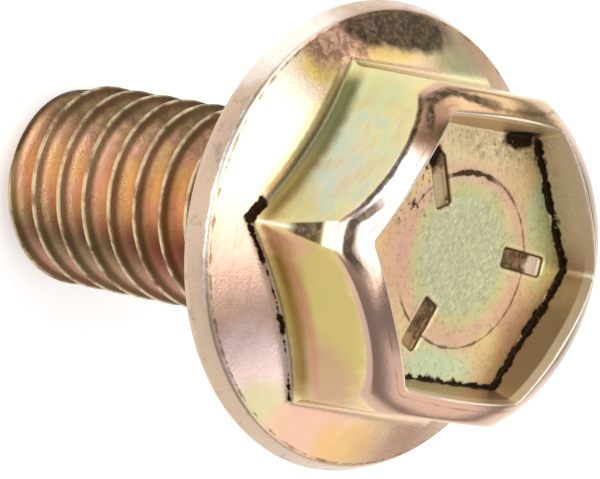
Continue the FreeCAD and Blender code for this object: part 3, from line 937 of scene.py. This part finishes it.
def indent_finish(effects):
    """Pressed floor with a pale green middle, a scribed ring and speckled marks, darker along its edge
    on two sides with painted glint specks there, and painted highlights on the marks' lips and lit ends
    and along the wall's top.
    """
    coat = Finish("indent plating", effects)
    parts = coat.node("SeparateXYZ", {"Vector": coat.place})
    away = coat.length(coat.vector("MULTIPLY", coat.place, (1, 1, 0)))
    colour = coat.film(0.5, 0.26, 0.6)
    colour = coat.mix(0.4, colour, "indent_veil")
    colour = coat.lay_patches(colour, INDENT_PATCHES)
    pink_ring = coat.line(away, 3.0, 0.4, 0.35, 0.5, 0.8)
    colour = coat.lay(colour, pink_ring, 0.65, "pink_ring")
    disc = coat.region((-0.05, 0.0, 21.5), (2.6, 2.6, 4.0), 0.16, 0.25, 0.8)
    turned = coat.node("VectorRotate", {"Vector": coat.place, "Angle": 0.6}).outputs[0]
    stroke = coat.vector("MULTIPLY", turned, (1.0, 2.4, 1.0))
    flake = coat.mottle(3.6, 0.42, 0.1, stroke)
    disc_colour = coat.lay("disc", flake, 0.75, "disc_flake")
    fringe = coat.line(away, 2.45, 0.22, 0.2, 0.3, 0.8)
    disc_colour = coat.lay(disc_colour, fringe, 0.7, "disc_fringe")
    colour = coat.lay(colour, disc, 0.9, disc_colour)

    ring_place = coat.vector("SUBTRACT", coat.place, (0.17, 0.0, 0.0))
    ring_away = coat.length(coat.vector("MULTIPLY", ring_place, (1, 1, 0)))
    ring = coat.line(ring_away, 3.24, 0.04, 0.035, 0.14, 1.3)
    thick = coat.region((-2.9, -0.2, 21.5), (0.9, 1.5, 1.0), 0.4, 0.4)
    thick_ring = coat.line(ring_away, 3.2, 0.1, 0.04, 0.16, 2.2)
    no_ring = coat.region((0.1, -3.5, 21.5), (2.0, 1.7, 1.0), 0.3, 0.3)
    ring = coat.both(ring, coat.sum("MULTIPLY_ADD", no_ring, -0.75, 0.8))
    ring = coat.sum("MAXIMUM", ring, coat.both(thick, thick_ring))
    colour = coat.mix(ring, colour, "scribed_ring")
    pits = coat.mottle(5.0, 0.28, 0.1)
    brown_top = coat.region((-4.4, 1.4, 21.5), (0.9, 2.6, 0.6), 0.6, 0.8)
    brown = coat.mottle(3.6, 0.55, 0.12)
    colour = coat.lay(colour, coat.both(brown, brown_top), 0.5, "brown_mottle")
    pit_share = coat.sum("MULTIPLY_ADD", brown_top, 0.4, 0.35)
    colour = coat.lay(colour, pits, pit_share, "pits")
    dark_pits = coat.mottle(3.6, 0.3, 0.03)
    pitted = coat.region((-2.3, -2.9, 21.5), (1.5, 0.9, 0.6), 0.5, 0.8)
    colour = coat.lay(colour, dark_pits, pitted, "dark_pits")

    wall = coat.ease(coat.kept("from_floor_edge"), -0.02, 0.1)
    lip = coat.ease(coat.kept("from_rim"), -0.46, -0.36)
    wall_colour = coat.film(0.62, 0.3, 0.5)
    wall_colour = coat.mix(0.55, wall_colour, "wall_veil")
    wall_colour = coat.lay_patches(wall_colour, WALL_PATCHES)
    # Painted highlight: a near-white band along the wall's rounded top, under the rim
    wall_colour = coat.mix(lip, wall_colour, "wall_top_highlight")
    # Speckled darkening towards the wall's foot
    wall_speck = coat.mottle(3.0, 0.3, 0.1)
    low_wall = coat.ease(coat.kept("from_floor_edge"), 1.1, 0.2)
    wall_foot_dark = coat.both(coat.sum("MULTIPLY_ADD", wall_speck, 0.35, 0.25), low_wall)
    wall_colour = coat.mix(wall_foot_dark, wall_colour, "wall_foot_dark")
    colour = coat.mix(wall, colour, wall_colour)
    depth = coat.sum("SUBTRACT", INDENT_FLOOR, parts.outputs["Z"])
    sunk = coat.ease(depth, 0.015, 0.06)
    pressed = coat.ease(depth, 0.1, 0.16)
    mark_speck = coat.mottle(3.4, 0.5, 0.14)
    mark_colour = coat.mix(mark_speck, "mark_light", "mark_dark")
    mark_colour = coat.lay_patches(mark_colour, MARK_LIT_END_PATCHES, 4.0)
    mark_colour = coat.mix(pressed, "mark_wall", mark_colour)
    colour = coat.lay(colour, sunk, 0.92, mark_colour)
    # Painted highlight: a pale ring on the raised lip round each grade mark
    raised = coat.ease(depth, -0.004, -0.013)
    colour = coat.lay(colour, raised, 0.3, "mark_lip_highlight")

    # Darker along the floor's edge on the +X and +Y sides and in two blobs
    along_darker_way = coat.node("VectorMath", {0: coat.place, 1: DARKER_WAY}, operation="DOT_PRODUCT")
    darker_sides = coat.ease(along_darker_way.outputs["Value"], -0.7, 0.2)
    floor_edge_line = coat.edge_line("from_floor_edge", 0.06, 0.17, 0.05, 0.34, 2.0)
    darkened = coat.both(floor_edge_line, darker_sides)
    blob = coat.region((-4.55, 2.0, 21.5), (0.4, 0.85, 0.6), 0.25, 0.8)
    mark_blob = coat.region((-3.35, -2.2, 21.5), (0.55, 0.35, 0.5), 0.2, 0.7)
    darkened = coat.sum("MAXIMUM", darkened, coat.sum("MAXIMUM", blob, mark_blob))
    # Painted highlight: tiny pale glint specks in the darkened floor edge
    glint_specks = coat.mottle(6.0, 0.14, 0.03)
    colour = coat.mix(darkened, colour, coat.mix(glint_specks, "dark_floor_edge", "glint_specks"))
    rougher = coat.sum("MAXIMUM", darkened, sunk)
    return coat.complete(colour, rougher, 0.34, 0.55, 0.8, 0.5, 0.7)


def thread_finish(effects):
    """Browner gold plating with orange and pink patches, painted highlights and painted shade on the
    flanks, and pale along the crests, partly from wear and partly a painted highlight.
    """
    coat = Finish("thread plating", effects)
    colour = coat.film(0.48, 0.5, 0.9)
    colour = coat.mix(0.5, colour, "thread_veil")
    colour = coat.lay_patches(colour, THREAD_PATCHES)
    rise = coat.kept("thread_rise")
    # Painted highlight: rosy and golden light on the lower flanks across the lit middle of the thread
    lower_flank = coat.ease(coat.sum("ABSOLUTE", coat.sum("SUBTRACT", rise, 0.4)), 0.38, 0.08)
    cloud = coat.noise(coat.place, 0.75, 3.0, 0.55, 0.5)
    lit = coat.region((-1.0, -3.5, 9.0), (1.9, 2.2, 8.0), 0.5, 0.5)
    flank_highlight = coat.both(lower_flank, lit)
    rosy = coat.both(flank_highlight, coat.ease(cloud, 0.4, 0.6))
    golden = coat.both(flank_highlight, coat.ease(cloud, 0.6, 0.4))
    colour = coat.lay(colour, rosy, 0.7, "rosy_highlight")
    colour = coat.lay(colour, golden, 0.85, "golden_highlight")
    root = coat.ease(rise, 0.14, 0.02)
    colour = coat.lay(colour, root, 0.7, "thread_root")
    # Painted shade: a dark red and olive band on the flanks just under each crest
    flank_shade = coat.ease(coat.sum("ABSOLUTE", coat.sum("SUBTRACT", rise, 0.85)), 0.3, 0.06)
    flank_shade_colour = coat.mix(coat.ease(cloud, 0.4, 0.6), "red_painted_shade", "olive_painted_shade")
    colour = coat.lay(colour, flank_shade, 0.85, flank_shade_colour)
    # Pale broken line along the crests: partly wear, partly a painted highlight
    crest = coat.ease(rise, 0.9, 0.99)
    worn_and_lit = coat.noise(coat.place, 1.4, 3.0, 0.6)
    crest = coat.both(crest, coat.ease(worn_and_lit, 0.3, 0.6))
    colour = coat.lay(colour, crest, 0.85, "worn_and_lit_crest")
    speck = coat.mottle(2.2, 0.45, 0.16)
    shaded_top = coat.region((-3.3, -1.6, 7.0), (1.9, 3.4, 12.0), 0.5, 0.6)
    speck = coat.both(speck, coat.sum("MULTIPLY_ADD", shaded_top, 0.5, 0.1))
    colour = coat.mix(speck, colour, "thread_speck")
    return coat.complete(colour, speck, 0.28, 0.42, 0.5, 0.6, 0.6)


def make_floor():
    """Pale floor that looks white to the camera and in the metal, and keeps the shadow."""
    mesh = bpy.data.meshes.new("floor")
    half = FLOOR_HALF * MM
    level = -FLOOR_DROP * MM
    corners = [(-half, -half, level), (half, -half, level), (half, half, level), (-half, half, level)]
    mesh.from_pydata(corners, [], [(0, 1, 2, 3)])
    floor = new_object("floor", mesh)
    material = bpy.data.materials.new("white sweep")
    material.use_nodes = True
    board = Board(material.node_tree)
    shader = board.tree.nodes["Principled BSDF"]
    shader.inputs["Base Color"].default_value = (0.8, 0.8, 0.8, 1)
    shader.inputs["Roughness"].default_value = 0.9
    shader.inputs["Emission Color"].default_value = (1, 1, 1, 1)
    path = board.node("LightPath", {}).outputs
    seen = board.sum("MAXIMUM", path["Is Camera Ray"], path["Is Glossy Ray"])
    seen = board.sum("MAXIMUM", seen, path["Is Transmission Ray"])
    board.tree.links.new(board.both(seen, FLOOR_GLOW), shader.inputs["Emission Strength"])
    mesh.materials.append(material)


def light_studio():
    """Grey room light with soft boxes overhead, at both sides, behind and low in front."""
    world = bpy.data.worlds.new("studio")
    bpy.context.scene.world = world
    world.use_nodes = True
    back = world.node_tree.nodes["Background"]
    back.inputs["Color"].default_value = ROOM_TINT
    back.inputs["Strength"].default_value = ROOM_LIGHT
    for box in SOFT_BOXES:
        soft_box(*box)


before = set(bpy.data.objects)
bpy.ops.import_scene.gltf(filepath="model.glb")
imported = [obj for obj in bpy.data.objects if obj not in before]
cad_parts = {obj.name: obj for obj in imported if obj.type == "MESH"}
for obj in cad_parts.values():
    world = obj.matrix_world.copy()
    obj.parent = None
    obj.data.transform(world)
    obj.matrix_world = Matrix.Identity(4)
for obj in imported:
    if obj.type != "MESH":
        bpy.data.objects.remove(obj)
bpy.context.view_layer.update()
effects = {"film": film_effect(), "patch": patch_effect(), "line": line_effect(),
           "mottle": mottle_effect(), "grain": grain_effect()}
materials = [make(effects) for make in (indent_finish, hex_finish, flange_finish, thread_finish)]
skin = make_bolt_skin(materials)
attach(skin, "root")
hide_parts("bolt")
make_floor()
light_studio()
place_camera()
bpy.context.scene.view_settings.view_transform = "Standard"
